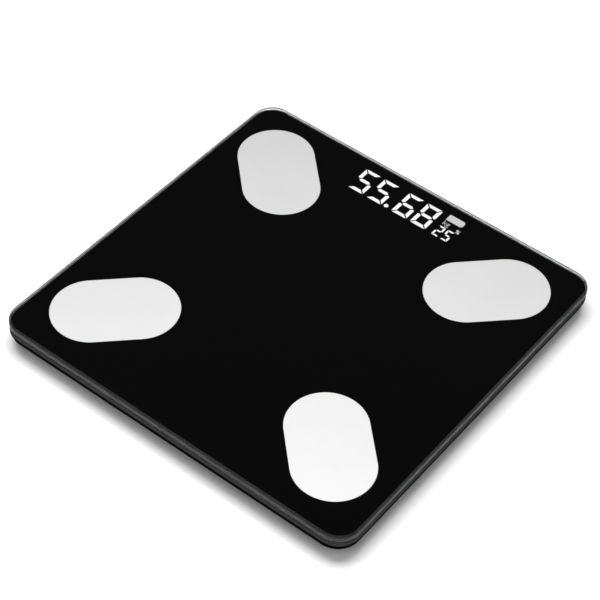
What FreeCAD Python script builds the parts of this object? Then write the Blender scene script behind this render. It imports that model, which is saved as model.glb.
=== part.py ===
import FreeCAD, Part
import math
import os

V = FreeCAD.Vector
UP = V(0, 0, 1)

# All sizes are in millimetres. +X is to the right, +Y is the display end, +Z is up,
# and the foot pads stand on z = 0.

# Platform and the heights of its layers
PLATE = 280.0
PLATE_CORNER = 16.0
ARRIS = 1.4
GLASS_TOP = 25.0
GLASS_UNDER = 19.0
FILM_UNDER = 18.8
TRAY_TOP = 18.3

# Tray
RIM_UNDER = 11.5
RIM_WALL = 4.0
RIM_ROUND = 1.0
LIP_TOP = 14.8
LIP_INSET = 0.85
LIP_ROUND = 0.4
SHELF_TOP = 13.3
PAN_TOP_HALF = 127.0
PAN_FOOT_HALF = 124.0
PAN_CORNER = 15.0
PAN_WALL = 2.0
PAN_UNDER = 4.0
FLOOR_TOP = 6.0
RIB = 1.6
RIB_TOP = 13.4
CROSS_RIBS_Y = [-30.0, 50.0]
LONG_RIB_X = 33.5
LONG_RIB_ENDS = (-121.0, 84.0)
PILLARS = [(-80.0, 0.0), (80.0, 0.0), (0.0, -92.0), (0.0, 62.0)]
PILLAR_R = 5.0
LABEL = (0.0, -66.0, 70.0, 34.0)

# Electrodes and their studs
ELECTRODE_X = 88.0
ELECTRODE_Y = 85.3
ELECTRODE_END_R = 27.2
ELECTRODE_HALF_RUN = 15.6
ELECTRODE_THICK = 0.4
STUD_OFFSET = 12.7
STUD_R = 1.5
STUD_HOLE_R = 2.5
STUD_UNDER = 15.2
EYELET_R = 3.4
EYELET_TAIL = 9.0
EYELET_TAIL_HALF = 1.4
NUT_REACH = 3.15
NUT_UNDER = 15.9
STUD_FIT = 0.05
TAPE_OUTER_INSET = 1.6
TAPE_INNER_INSET = 3.8

# Load cells and feet
CELL = 98.0
CELL_HALF = 20.0
CELL_UNDER = 9.5
CELL_TOP = 11.1
SEAT_HALF = 18.0
SEAT_WALL = 1.6
SEAT_WALL_TOP = 10.8
SEAT_BACK_HALF = 12.0
TONGUE_HALF = 9.0
SLOT = 3.0
BRACKET_TOP = 13.1
BRACKET_HALF = 22.0
BRACKET_INSIDE = 15.5
EARS = [(-26.0, 16.0), (18.5, -24.5)]
FOOT_R = 19.0
FOOT_UNDER = 1.2
FOOT_TOP = 3.4
NECK_R = 14.0
NECK_TOP = 7.5
FOOT_HOLE_R = 14.6
HOOK_R = 16.0
PAD_R = 15.0
PAD_TOP = 2.6

# Screws
SCREW_R = 1.3
SCREW_HEAD_R = 2.6
SCREW_HEAD = 1.6
SCREW_LENGTH = 6.0
PILOT_R = 1.35
BOSS_R = 3.4

# Battery bay, cells and door
BAY_HALF_X = 26.0
BAY_HALF_Y = 19.0
BAY_WALL = 2.4
BAY_CEILING = 16.8
SEAT = 2.0
DOOR_TOP = 5.6
DOOR_SLACK = 0.06
DOOR_GAP = 0.3
HOOK_X = [-15.0, 15.0]
HOOK_REACH = 1.9
LATCH_WINDOW = (7.4, 9.6)
FINGER_R = 7.0
BATTERY_R = 5.25
BATTERY_LENGTH = 44.5
BATTERY_NUB = 1.2
BATTERY_PITCH = 12.0
BATTERY_Z = 11.4
CONTACT = 0.4
DIMPLE = 0.8
SPRING_WIRE_R = 0.35
SPRING_R = 2.6
SPRING_HALF_TURNS = 7

# Main board, display and button
BOARD_UNDER = 13.3
BOARD_TOP = 14.3
BOARD_HALF_X = 58.0
BOARD_Y = (86.0, 135.0)
BOARD_SCREWS = [(-54.0, 97.0), (54.0, 97.0), (-54.0, 118.0), (54.0, 118.0)]
REFLECTOR_X = (-50.0, 49.0)
REFLECTOR_Y = (104.2, 135.0)
WINDOW_X = (-48.0, 47.0)
WINDOW_Y = (105.2, 134.0)
DIGIT_X = [-44.2, -28.3, -7.0, 8.8]
DIGIT_Y = 107.2
DIGIT_WIDE = 13.3
DIGIT_TALL = 24.4
SEGMENT = 3.5
SMALL_DIGIT_X = [27.1, 34.3]
SMALL_DIGIT_Y = 107.3
SMALL_DIGIT_WIDE = 6.1
SMALL_DIGIT_TALL = 11.4
SMALL_SEGMENT = 1.7
POINT = (-11.2, 109.5, 1.9)
ICONS = [(27.1, 125.2, 13.8, 6.6), (27.1, 120.0, 6.2, 4.4), (38.8, 119.0, 3.6, 2.6)]
BUTTON = (20.0, 95.0)
BUTTON_R = 4.0
BUTTON_UNDER = 3.4
STEM_TOP = 8.3
SWITCH_UNDER = 9.8
MAIN_CHIP = (-22.0, 97.0, 11.0, 6.0, 1.6)
CONVERTER_CHIP = (5.0, 97.0, 9.0, 4.0, 1.5)
MODULE = (25.0, 97.0)
PART_ROWS = [(-47.0, 8), (37.0, 6)]
CAPACITOR = (-5.5, 97.0, 2.5)

# Wires
WIRE_R = 0.6
WIRE_PITCH = 1.5
WIRE_Z = 12.65
SOLDER_Z = 14.95
REAR_ELECTRODE_X = 54.0
REAR_SENSOR_X = 49.5
FRONT_SENSOR_X = 44.0
FRONT_ELECTRODE_X = 38.5
BATTERY_LEAD_X = 31.0

CORNERS = [
    ("front_left", -1, -1),
    ("front_right", 1, -1),
    ("rear_left", -1, 1),
    ("rear_right", 1, 1),
]


# ---------------------------------------------------------------- helpers

def box(x, y, z):
    """A box from three (low, high) ranges."""
    size = [x[1] - x[0], y[1] - y[0], z[1] - z[0]]
    return Part.makeBox(size[0], size[1], size[2], V(x[0], y[0], z[0]))


def rod(x, y, radius, z):
    """An upright cylinder over the height range z."""
    return Part.makeCylinder(radius, z[1] - z[0], V(x, y, z[0]))


def upright_edges(shape):
    found = []
    for edge in shape.Edges:
        bounds = edge.BoundBox
        if bounds.XLength < 0.01 and bounds.YLength < 0.01:
            found.append(edge)
    return found


def edges_at(shape, height):
    found = []
    for edge in shape.Edges:
        bounds = edge.BoundBox
        if abs(bounds.ZMin - height) < 0.001 and abs(bounds.ZMax - height) < 0.001:
            found.append(edge)
    return found


def square(half, z, corner):
    """A square block centred on the origin, with rounded upright edges."""
    block = box((-half, half), (-half, half), z)
    return block.makeFillet(corner, upright_edges(block))


def rounded(x, y, z, corner):
    block = box(x, y, z)
    return block.makeFillet(corner, upright_edges(block))


def fuse(shapes):
    return shapes[0].multiFuse(shapes[1:]).removeSplitter()


def group(shapes):
    return Part.makeCompound(shapes)


def obround(end_r, half_run, z):
    """A slot-ended plate along X, centred on the origin."""
    middle = box((-half_run, half_run), (-end_r, end_r), z)
    ends = [rod(-half_run, 0, end_r, z), rod(half_run, 0, end_r, z)]
    return fuse([middle] + ends)


def tapered_square(low_half, high_half, z, corner):
    """A square block whose sides lean outward toward the top."""
    outlines = []
    for half, height in ((low_half, z[0]), (high_half, z[1])):
        slab = square(half, (height, height + 1.0), corner)
        face = [f for f in slab.Faces if abs(f.BoundBox.ZMax - height) < 0.001][0]
        outlines.append(face.OuterWire)
    return Part.makeLoft(outlines, True, True)


def wire_run(points, radius):
    """A round wire along straight runs that tangent arcs join."""
    corners = [V(*p) for p in points]
    pieces = []
    start = corners[0]
    for before, here, after in zip(corners, corners[1:], corners[2:]):
        into = (here - before).normalize()
        out = (after - here).normalize()
        turn = into.getAngle(out)
        trim = 0.45 * min((here - before).Length, (after - here).Length)
        bend = trim / math.tan(turn / 2)
        arc_start = here - into * trim
        arc_end = here + out * trim
        inward = (out - into).normalize()
        centre = here + inward * (bend / math.cos(turn / 2))
        middle = centre - inward * bend
        pieces.append(Part.LineSegment(start, arc_start).toShape())
        pieces.append(Part.Arc(arc_start, middle, arc_end).toShape())
        start = arc_end
    pieces.append(Part.LineSegment(start, corners[-1]).toShape())
    path = Part.Wire(pieces)
    direction = corners[1] - corners[0]
    section = Part.Wire([Part.Circle(corners[0], direction, radius).toShape()])
    return path.makePipeShell([section], True, False)


def save(shape, name):
    shape.exportStep("parts/" + name + ".step")


# ---------------------------------------------------------------- platform

def stud_places():
    x = ELECTRODE_X - STUD_OFFSET
    y = ELECTRODE_Y - STUD_OFFSET
    return [(sx * x, sy * y) for _, sx, sy in CORNERS]


def glass_platform():
    plate = square(PLATE / 2, (GLASS_UNDER, GLASS_TOP), PLATE_CORNER)
    rims = edges_at(plate, GLASS_TOP) + edges_at(plate, GLASS_UNDER)
    plate = plate.makeChamfer(ARRIS, rims)
    for x, y in stud_places():
        plate = plate.cut(rod(x, y, STUD_HOLE_R, (GLASS_UNDER - 1, GLASS_TOP + 1)))
    return plate


def mask_film():
    """The black print under the glass, open at the display and the studs."""
    heights = (FILM_UNDER, GLASS_UNDER)
    film = square(PLATE / 2 - ARRIS, heights, PLATE_CORNER - ARRIS)
    film = film.cut(box(WINDOW_X, WINDOW_Y, heights))
    for x, y in stud_places():
        film = film.cut(rod(x, y, STUD_HOLE_R, heights))
    return film


def display_filter():
    return box(WINDOW_X, WINDOW_Y, (FILM_UNDER, GLASS_UNDER))


def electrode(sx, sy):
    heights = (GLASS_TOP, GLASS_TOP + ELECTRODE_THICK)
    plate = obround(ELECTRODE_END_R, ELECTRODE_HALF_RUN, heights)
    plate = plate.makeFillet(0.25, edges_at(plate, heights[1]))
    plate.rotate(V(0, 0, 0), UP, 45 * sx * sy)
    plate.translate(V(sx * ELECTRODE_X, sy * ELECTRODE_Y, 0))
    return plate


def electrode_studs():
    return group([rod(x, y, STUD_R, (STUD_UNDER, GLASS_TOP)) for x, y in stud_places()])


def ring_terminals():
    """Eyelets under the glass, each with a tail for its lead."""
    heights = (TRAY_TOP, FILM_UNDER)
    eyelets = []
    for x, y in stud_places():
        inward = -1 if x > 0 else 1
        ring = rod(x, y, EYELET_R, heights)
        across = (y - EYELET_TAIL_HALF, y + EYELET_TAIL_HALF)
        tail = box(sorted((x, x + EYELET_TAIL * inward)), across, heights)
        hole = rod(x, y, STUD_R + STUD_FIT, heights)
        eyelets.append(fuse([ring, tail]).cut(hole))
    return group(eyelets)


def stud_nuts():
    heights = (NUT_UNDER, TRAY_TOP)
    nuts = []
    for x, y in stud_places():
        outline = []
        for i in range(6):
            angle = math.radians(60 * i)
            outline.append((x + NUT_REACH * math.cos(angle), y + NUT_REACH * math.sin(angle)))
        nuts.append(prism(outline, heights).cut(rod(x, y, STUD_R + STUD_FIT, heights)))
    return group(nuts)


def bond_tape():
    """Double-sided tape: a loop round the rim and a patch on each support."""
    heights = (TRAY_TOP, FILM_UNDER)
    outer = square(PLATE / 2 - TAPE_OUTER_INSET, heights, PLATE_CORNER - TAPE_OUTER_INSET)
    inner = square(PLATE / 2 - TAPE_INNER_INSET, heights, PLATE_CORNER - TAPE_INNER_INSET)
    pieces = [outer.cut(inner)]
    for x, y in PILLARS:
        pieces.append(rod(x, y, PILLAR_R - 0.5, heights))
    pieces.append(box((-24.0, 24.0), (-17.0, 17.0), heights))
    return group(pieces)


# ---------------------------------------------------------------- tray

def tray_rim():
    """The upright band that shows under the glass, and the drafted lip below it."""
    half = PLATE / 2
    band = square(half, (LIP_TOP, TRAY_TOP), PLATE_CORNER)
    band = band.makeFillet(RIM_ROUND, edges_at(band, TRAY_TOP))
    lip = tapered_square(half - LIP_INSET, half, (RIM_UNDER, LIP_TOP), PLATE_CORNER)
    lip = lip.makeFillet(LIP_ROUND, edges_at(lip, RIM_UNDER))
    return band.fuse(lip)


def tray_shell():
    rim = tray_rim()
    pan = tapered_square(PAN_FOOT_HALF, PAN_TOP_HALF, (PAN_UNDER, RIM_UNDER + 0.5), PAN_CORNER)
    pan = pan.makeFillet(1.5, edges_at(pan, PAN_UNDER))
    rim_space = square(PLATE / 2 - RIM_WALL, (SHELF_TOP, TRAY_TOP + 1), PLATE_CORNER - RIM_WALL)
    low = PAN_FOOT_HALF - PAN_WALL
    high = PAN_TOP_HALF - PAN_WALL
    pan_space = tapered_square(low, high, (FLOOR_TOP, SHELF_TOP + 0.5), PAN_CORNER - PAN_WALL)
    return rim.fuse(pan).cut(rim_space).cut(pan_space)


def rib_notches(y):
    """Where wires cross the rib at y: (distance from the middle, half width of the notch)."""
    single = WIRE_R + 0.3
    notches = [(FRONT_SENSOR_X, WIRE_PITCH + single), (FRONT_ELECTRODE_X, single)]
    if y > 0:
        notches.append((BATTERY_LEAD_X, single))
    return notches


def ribs():
    reach = PAN_FOOT_HALF - PAN_WALL
    pieces = []
    for y in CROSS_RIBS_Y:
        rib = box((-reach, reach), (y - RIB / 2, y + RIB / 2), (FLOOR_TOP - 0.5, RIB_TOP))
        for x, half in rib_notches(y):
            for side in (-1, 1):
                across = (side * x - half, side * x + half)
                rib = rib.cut(box(across, (y - 2, y + 2), (WIRE_Z - WIRE_R - 0.05, RIB_TOP)))
        pieces.append(rib)
    for side in (-1, 1):
        x = side * LONG_RIB_X
        pieces.append(box((x - RIB / 2, x + RIB / 2), LONG_RIB_ENDS, (FLOOR_TOP - 0.5, RIB_TOP - 0.9)))
    return pieces


def cell_seat(sx, sy):
    """Ledges under the load cell's rails, with low walls that locate it."""
    base = FLOOR_TOP - 0.5
    ledge = (HOOK_R + 0.6, CELL_HALF)
    wall = (CELL_HALF + 0.3, CELL_HALF + 0.3 + SEAT_WALL)
    along = (-SEAT_HALF, SEAT_HALF)
    back = (-SEAT_BACK_HALF, SEAT_BACK_HALF)
    pieces = []
    for side in (-1, 1):
        pieces.append(box(sorted((side * ledge[0], side * wall[1])), along, (base, CELL_UNDER)))
        pieces.append(box(sorted((side * wall[0], side * wall[1])), along, (base, SEAT_WALL_TOP)))
    pieces.append(box(back, (ledge[0], wall[1]), (base, CELL_UNDER)))
    pieces.append(box(back, (wall[0], wall[1]), (base, SEAT_WALL_TOP)))
    for u, w in EARS:
        pieces.append(rod(u, w, BOSS_R, (base, CELL_TOP)))
    return [place_cell_part(piece, sx, sy) for piece in pieces]


def place_cell_part(shape, sx, sy):
    """Put a shape drawn for the rear right corner into the corner with these signs."""
    placed = shape.copy()
    if sx < 0:
        placed = placed.mirror(V(0, 0, 0), V(1, 0, 0))
    if sy < 0:
        placed = placed.mirror(V(0, 0, 0), V(0, 1, 0))
    placed.translate(V(sx * CELL, sy * CELL, 0))
    return placed


def screw_places():
    """Every screw as (x, y, height of the face under its head)."""
    places = []
    for _, sx, sy in CORNERS:
        for u, w in EARS:
            places.append((sx * (CELL + u), sy * (CELL + w), BRACKET_TOP))
    for x, y in BOARD_SCREWS:
        places.append((x, y, BOARD_TOP))
    return places


def bay_block():
    outer = (BAY_HALF_X + BAY_WALL, BAY_HALF_Y + BAY_WALL)
    return box((-outer[0], outer[0]), (-outer[1], outer[1]), (FLOOR_TOP - 0.5, TRAY_TOP))


def cut_bay(tray):
    """Open the battery bay from below, with a seat for the door and slots for its catches."""
    inside_x = (-BAY_HALF_X, BAY_HALF_X)
    inside_y = (-BAY_HALF_Y, BAY_HALF_Y)
    seat_x = (-BAY_HALF_X - SEAT, BAY_HALF_X + SEAT)
    seat_y = (-BAY_HALF_Y - SEAT, BAY_HALF_Y + SEAT)
    tray = tray.cut(box(inside_x, inside_y, (PAN_UNDER, BAY_CEILING)))
    tray = tray.cut(box(seat_x, seat_y, (PAN_UNDER, DOOR_TOP + DOOR_SLACK)))
    for x in HOOK_X:
        across = (x - 4, x + 4)
        tray = tray.cut(box(across, (seat_y[0], -BAY_HALF_Y), (DOOR_TOP, FLOOR_TOP)))
        tray = tray.cut(box(across, (-BAY_HALF_Y - BAY_WALL - 0.1, -BAY_HALF_Y), (FLOOR_TOP, 8.5)))
    tray = tray.cut(box((-5.5, 5.5), (BAY_HALF_Y, BAY_HALF_Y + 1.6), LATCH_WINDOW))
    tray = tray.cut(rod(0, seat_y[1], FINGER_R, (PAN_UNDER, PAN_UNDER + 1.1)))
    for x, y in ((-BAY_HALF_X, -BATTERY_PITCH), (BAY_HALF_X, BATTERY_PITCH)):
        out = V(1 if x > 0 else -1, 0, 0)
        tray = tray.cut(Part.makeCylinder(WIRE_R + 0.2, BAY_WALL + 0.1, V(x, y, 14.5), out))
    for y in (-BATTERY_PITCH / 2, BATTERY_PITCH / 2):
        tray = tray.fuse(box((-18.0, 18.0), (y - 0.45, y + 0.45), (11.0, BAY_CEILING + 0.5)))
    return tray


def base_tray():
    pieces = [tray_shell(), bay_block()] + ribs()
    for _, sx, sy in CORNERS:
        pieces.extend(cell_seat(sx, sy))
    for x, y in BOARD_SCREWS:
        pieces.append(rod(x, y, BOSS_R, (FLOOR_TOP - 0.5, BOARD_UNDER)))
    for x, y in PILLARS:
        pieces.append(rod(x, y, PILLAR_R, (FLOOR_TOP - 0.5, TRAY_TOP)))
    pieces.append(rod(BUTTON[0], BUTTON[1], 8.0, (FLOOR_TOP - 0.5, FLOOR_TOP + 0.6)))
    tray = fuse(pieces)
    tray = cut_bay(tray)
    for _, sx, sy in CORNERS:
        tray = tray.cut(rod(sx * CELL, sy * CELL, FOOT_HOLE_R, (PAN_UNDER - 1, FLOOR_TOP + 1)))
    for x, y, seat in screw_places():
        tray = tray.cut(rod(x, y, PILOT_R, (seat - SCREW_LENGTH - 0.5, seat)))
    x, y = BUTTON
    tray = tray.cut(rod(x, y, BUTTON_R + 0.3, (PAN_UNDER - 1, FLOOR_TOP)))
    tray = tray.cut(rod(x, y, 5.9, (FLOOR_TOP, FLOOR_TOP + 1)))
    tray = tray.cut(rod(x, y, 7.5, (PAN_UNDER - 1, PAN_UNDER + 0.6)))
    cx, cy, wide, deep = LABEL
    span_x = (cx - wide / 2, cx + wide / 2)
    span_y = (cy - deep / 2, cy + deep / 2)
    tray = tray.cut(rounded(span_x, span_y, (PAN_UNDER - 1, PAN_UNDER + 0.3), 2.0))
    return tray.removeSplitter()


# ---------------------------------------------------------------- load cells and feet

def load_cell():
    """A sheet-steel frame with a tongue that the foot pushes up."""
    heights = (CELL_UNDER, CELL_TOP)
    plate = square(CELL_HALF, heights, 3.0)
    gap = TONGUE_HALF + SLOT
    for side in (-1, 1):
        plate = plate.cut(box(sorted((side * TONGUE_HALF, side * gap)), (-10.0, 15.0), heights))
    return plate.cut(box((-gap, gap), (12.0, 15.0), heights))


def strain_gauge():
    return rounded((-4.0, 4.0), (-16.0, -9.0), (CELL_TOP, CELL_TOP + 0.7), 1.0)


def cell_bracket():
    """A three-sided clamp over the cell's rails, with two screw ears."""
    heights = (CELL_TOP, BRACKET_TOP)
    inside = BRACKET_INSIDE
    outside = BRACKET_HALF
    pieces = [
        box((-outside, outside), (inside, outside), heights),
        box((-outside, -inside), (-20.0, outside), heights),
        box((inside, outside), (-20.0, outside), heights),
    ]
    (ax, ay), (bx, by) = EARS
    pieces.append(rod(ax, ay, 4.0, heights))
    pieces.append(box((ax, -inside), (ay - 4.0, ay + 4.0), heights))
    pieces.append(rod(bx, by, 4.0, heights))
    pieces.append(box((bx - 3.0, bx + 3.5), (by, -19.0), heights))
    clamp = fuse(pieces)
    for x, y in EARS:
        clamp = clamp.cut(rod(x, y, SCREW_R + 0.2, heights))
    return clamp


def foot_disc():
    """The foot: a broad disc, a neck through the tray and four snap hooks."""
    disc = rod(0, 0, FOOT_R, (FOOT_UNDER, FOOT_TOP))
    disc = disc.makeFillet(0.7, edges_at(disc, FOOT_UNDER) + edges_at(disc, FOOT_TOP))
    neck = rod(0, 0, NECK_R, (FOOT_TOP - 1.0, NECK_TOP))
    boss = rod(0, 0, 5.0, (NECK_TOP - 0.5, CELL_UNDER))
    hook_ring = rod(0, 0, HOOK_R, (FLOOR_TOP, NECK_TOP)).cut(rod(0, 0, NECK_R - 0.5, (FLOOR_TOP, NECK_TOP)))
    hooks = []
    for side in (-1, 1):
        hooks.append(hook_ring.common(box(sorted((side * 8.0, side * 20.0)), (-4.0, 4.0), (5.0, 8.0))))
        hooks.append(hook_ring.common(box((-4.0, 4.0), sorted((side * 8.0, side * 20.0)), (5.0, 8.0))))
    foot = fuse([disc, neck, boss] + hooks)
    hollow = rod(0, 0, NECK_R - 2.0, (PAD_TOP + 2.0, NECK_TOP)).cut(rod(0, 0, 5.0, (0.0, NECK_TOP)))
    foot = foot.cut(hollow)
    return foot.cut(rod(0, 0, PAD_R + 0.1, (0.0, PAD_TOP)))


def foot_pad():
    pad = rod(0, 0, PAD_R, (0.0, PAD_TOP))
    pad = pad.makeFillet(0.5, edges_at(pad, 0.0))
    for radius in (7.5, 11.5):
        ring = rod(0, 0, radius + 0.6, (0.0, 0.5)).cut(rod(0, 0, radius - 0.6, (0.0, 0.5)))
        pad = pad.cut(ring)
    return pad


def screws():
    """Pan-head screws of one size, for the brackets and the board."""
    made = []
    for x, y, seat in screw_places():
        head = rod(x, y, SCREW_HEAD_R, (seat, seat + SCREW_HEAD))
        head = head.makeFillet(0.7, edges_at(head, seat + SCREW_HEAD))
        shank = rod(x, y, SCREW_R, (seat - SCREW_LENGTH, seat + 0.5))
        screw = fuse([head, shank])
        depth = (seat + 0.7, seat + SCREW_HEAD + 1)
        screw = screw.cut(box((x - 1.5, x + 1.5), (y - 0.3, y + 0.3), depth))
        screw = screw.cut(box((x - 0.3, x + 0.3), (y - 1.5, y + 1.5), depth))
        made.append(screw)
    return group(made)


# ---------------------------------------------------------------- batteries and door

def battery(row):
    """One cell; the middle one is turned end for end."""
    tip = BAY_HALF_X - CONTACT - DIMPLE
    tail = tip - BATTERY_LENGTH
    body_end = tip - BATTERY_NUB
    x_axis = V(1, 0, 0)
    can = Part.makeCylinder(BATTERY_R, body_end - tail, V(tail, 0, 0), x_axis)
    rims = [e for e in can.Edges if e.BoundBox.XLength < 0.01]
    can = can.makeFillet(0.5, rims)
    nub = Part.makeCylinder(1.9, BATTERY_NUB + 0.3, V(body_end - 0.3, 0, 0), x_axis)
    cell = fuse([can, nub])
    if row == 0:
        cell.rotate(V(0, 0, 0), UP, 180)
    cell.translate(V(0, row * BATTERY_PITCH, BATTERY_Z))
    return cell


def battery_springs():
    """A coil behind the flat end of each battery."""
    tail = BAY_HALF_X - CONTACT - DIMPLE - BATTERY_LENGTH
    start = -BAY_HALF_X + CONTACT + SPRING_WIRE_R + 0.02
    length = tail - start - SPRING_WIRE_R - 0.05
    coils = []
    for row in (-1, 0, 1):
        coil = spring_coil(start, length)
        if row == 0:
            coil.rotate(V(0, 0, 0), UP, 180)
        coil.translate(V(0, row * BATTERY_PITCH, BATTERY_Z))
        coils.append(coil)
    return group(coils)


def spring_coil(start, length):
    """A wire wound about the X axis in leaning half turns, which meet smoothly."""
    step = length / SPRING_HALF_TURNS
    turns = []
    for i in range(SPRING_HALF_TURNS):
        side = 1 if i % 2 == 0 else -1
        here = V(start + step * i, 0, side * SPRING_R)
        centre = V(start + step * (i + 0.5), 0, 0)
        section = Part.Face(Part.Wire([Part.Circle(here, V(0, 1, 0), SPRING_WIRE_R).toShape()]))
        axis = (here - centre).cross(V(0, side, 0))
        turns.append(section.revolve(centre, axis, 180))
    return fuse(turns)


def contact_plates():
    """Sheet contacts at both ends; two of them join neighbouring cells."""
    heights = (BATTERY_Z - 4.0, BATTERY_Z + 4.0)
    half = 4.0
    outer = (BAY_HALF_X - CONTACT, BAY_HALF_X)
    p = BATTERY_PITCH
    spans = [(1, -p, 0.0), (1, p, p), (-1, -p, -p), (-1, 0.0, p)]
    plates = []
    for side, low, high in spans:
        plate = box(sorted((side * outer[0], side * outer[1])), (low - half, high + half), heights)
        for row in (-1, 0, 1):
            y = row * p
            plus_side = -1 if row == 0 else 1
            if low <= y <= high and plus_side == side:
                along = V(-side, 0, 0)
                dimple = Part.makeCylinder(2.2, DIMPLE + 0.1, V(side * (outer[0] + 0.1), y, BATTERY_Z), along)
                plate = plate.fuse(dimple)
        plates.append(plate)
    return group(plates)


def battery_door():
    """A flush door that tips out about its hooked edge."""
    half_x = BAY_HALF_X + SEAT - DOOR_GAP
    half_y = BAY_HALF_Y + SEAT - DOOR_GAP
    door = box((-half_x, half_x), (-half_y, half_y), (PAN_UNDER, DOOR_TOP))
    hinge_edges = []
    for edge in door.Edges:
        bounds = edge.BoundBox
        if bounds.XLength > 10 and bounds.YMax < -half_y + 0.01:
            hinge_edges.append(edge)
    door = door.makeFillet(0.79, hinge_edges)
    for x in HOOK_X:
        across = (x - 3, x + 3)
        door = door.fuse(box(across, (-half_y + 0.3, -half_y + 1.8), (DOOR_TOP - 0.5, 6.9)))
        door = door.fuse(box(across, (-half_y - HOOK_REACH, -half_y + 1.8), (6.1, 6.9)))
    for i in range(4):
        y = 6.0 + 2.4 * i
        door = door.cut(box((-6.0, 6.0), (y - 0.5, y + 0.5), (PAN_UNDER, PAN_UNDER + 0.5)))
    return door.removeSplitter()


def door_latch():
    """The springy tongue that snaps into the bay's wall."""
    foot = box((-4.5, 4.5), (15.8, 18.5), (DOOR_TOP, DOOR_TOP + 0.35))
    leg = box((-4.5, 4.5), (17.6, 18.5), (DOOR_TOP, 9.2))
    barb = box((-4.5, 4.5), (18.0, 19.9), (7.7, 9.2))
    slope = barb.makeChamfer(1.2, [e for e in barb.Edges if is_barb_tip(e)])
    return fuse([foot, leg, slope])


def is_barb_tip(edge):
    bounds = edge.BoundBox
    return bounds.XLength > 5 and bounds.YMin > 19.8 and bounds.ZMin > 9.1


# ---------------------------------------------------------------- board and display

def segment_outlines(x, y, wide, tall, stroke):
    """The seven bars of a digit as polygons, from its lower left corner."""
    gap = 0.12 * stroke
    half = stroke / 2
    left = x + half
    right = x + wide - half
    rows = [y + half, y + tall / 2, y + tall - half]
    bars = []
    for level in rows:
        bars.append([
            (left + gap, level), (left + half + gap, level + half), (right - half - gap, level + half),
            (right - gap, level), (right - half - gap, level - half), (left + half + gap, level - half),
        ])
    for low, high in zip(rows, rows[1:]):
        for side in (left, right):
            bars.append([
                (side, low + gap), (side + half, low + half + gap), (side + half, high - half - gap),
                (side, high - gap), (side - half, high - half - gap), (side - half, low + half + gap),
            ])
    return bars


def display_bars():
    bars = []
    for x in DIGIT_X:
        bars.extend(segment_outlines(x, DIGIT_Y, DIGIT_WIDE, DIGIT_TALL, SEGMENT))
    for x in SMALL_DIGIT_X:
        bars.extend(segment_outlines(x, SMALL_DIGIT_Y, SMALL_DIGIT_WIDE, SMALL_DIGIT_TALL, SMALL_SEGMENT))
    return bars


def prism(outline, z):
    points = [V(x, y, z[0]) for x, y in outline]
    face = Part.Face(Part.makePolygon(points + [points[0]]))
    return face.extrude(V(0, 0, z[1] - z[0]))


def display_reflector():
    """A light box with one well for each bar and mark of the display."""
    heights = (BOARD_TOP, TRAY_TOP)
    block = rounded(REFLECTOR_X, REFLECTOR_Y, heights, 1.5)
    wells = [prism(bar, heights) for bar in display_bars()]
    wells.append(rod(POINT[0], POINT[1], POINT[2], heights))
    for x, y, wide, tall in ICONS:
        wells.append(box((x, x + wide), (y, y + tall), heights))
    return block.cut(Part.makeCompound(wells))


def display_leds():
    """A light chip on the board in every well."""
    heights = (BOARD_TOP, BOARD_TOP + 0.7)
    chips = []
    for bar in display_bars():
        x = sum(p[0] for p in bar) / len(bar)
        y = sum(p[1] for p in bar) / len(bar)
        chips.append(box((x - 0.5, x + 0.5), (y - 0.5, y + 0.5), heights))
    chips.append(box((POINT[0] - 0.5, POINT[0] + 0.5), (POINT[1] - 0.5, POINT[1] + 0.5), heights))
    for x, y, wide, tall in ICONS:
        mid_x = x + wide / 2
        mid_y = y + tall / 2
        chips.append(box((mid_x - 0.5, mid_x + 0.5), (mid_y - 0.5, mid_y + 0.5), heights))
    return group(chips)


def display_diffuser():
    return box(REFLECTOR_X, REFLECTOR_Y, (TRAY_TOP, FILM_UNDER))


def main_board():
    board = rounded((-BOARD_HALF_X, BOARD_HALF_X), BOARD_Y, (BOARD_UNDER, BOARD_TOP), 2.0)
    for x, y in BOARD_SCREWS:
        board = board.cut(rod(x, y, SCREW_R + 0.2, (BOARD_UNDER, BOARD_TOP)))
    return board


def chip(cx, cy, wide, deep, tall):
    """A packaged chip with a row of legs along each long side."""
    base = BOARD_TOP
    span_x = (cx - wide / 2, cx + wide / 2)
    span_y = (cy - deep / 2, cy + deep / 2)
    body = box(span_x, span_y, (base + 0.15, base + tall))
    count = int(wide / 1.27)
    legs = []
    for i in range(count):
        x = cx + (i - (count - 1) / 2) * 1.27
        legs.append(box((x - 0.2, x + 0.2), (span_y[0] - 0.9, span_y[1] + 0.9), (base, base + 0.3)))
    return fuse([body] + legs)


def wireless_module():
    """A small daughter board with a screening can and a printed aerial's bare end."""
    x, y = MODULE
    carrier = box((x - 9.0, x + 9.0), (y - 4.5, y + 4.5), (BOARD_TOP, BOARD_TOP + 0.8))
    can = rounded((x - 8.2, x + 3.5), (y - 3.7, y + 3.7), (BOARD_TOP + 0.8, BOARD_TOP + 2.6), 0.8)
    return fuse([carrier, can])


def small_parts():
    """Two rows of small chips and one round capacitor on the board."""
    pieces = []
    for first, count in PART_ROWS:
        for i in range(count):
            x = first + 2.2 * i
            pieces.append(box((x, x + 1.2), (99.4, 101.4), (BOARD_TOP, BOARD_TOP + 0.7)))
    x, y, radius = CAPACITOR
    pieces.append(rod(x, y, radius, (BOARD_TOP, BOARD_TOP + 3.4)))
    return group(pieces)


# ---------------------------------------------------------------- button

def button_cap():
    x, y = BUTTON
    cap = rod(x, y, BUTTON_R, (BUTTON_UNDER, FLOOR_TOP + 0.2))
    cap = cap.makeFillet(0.6, edges_at(cap, BUTTON_UNDER))
    flange = rod(x, y, 5.5, (FLOOR_TOP, FLOOR_TOP + 1.2))
    stem = rod(x, y, 1.75, (FLOOR_TOP + 1.0, STEM_TOP))
    return fuse([cap, flange, stem])


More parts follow.
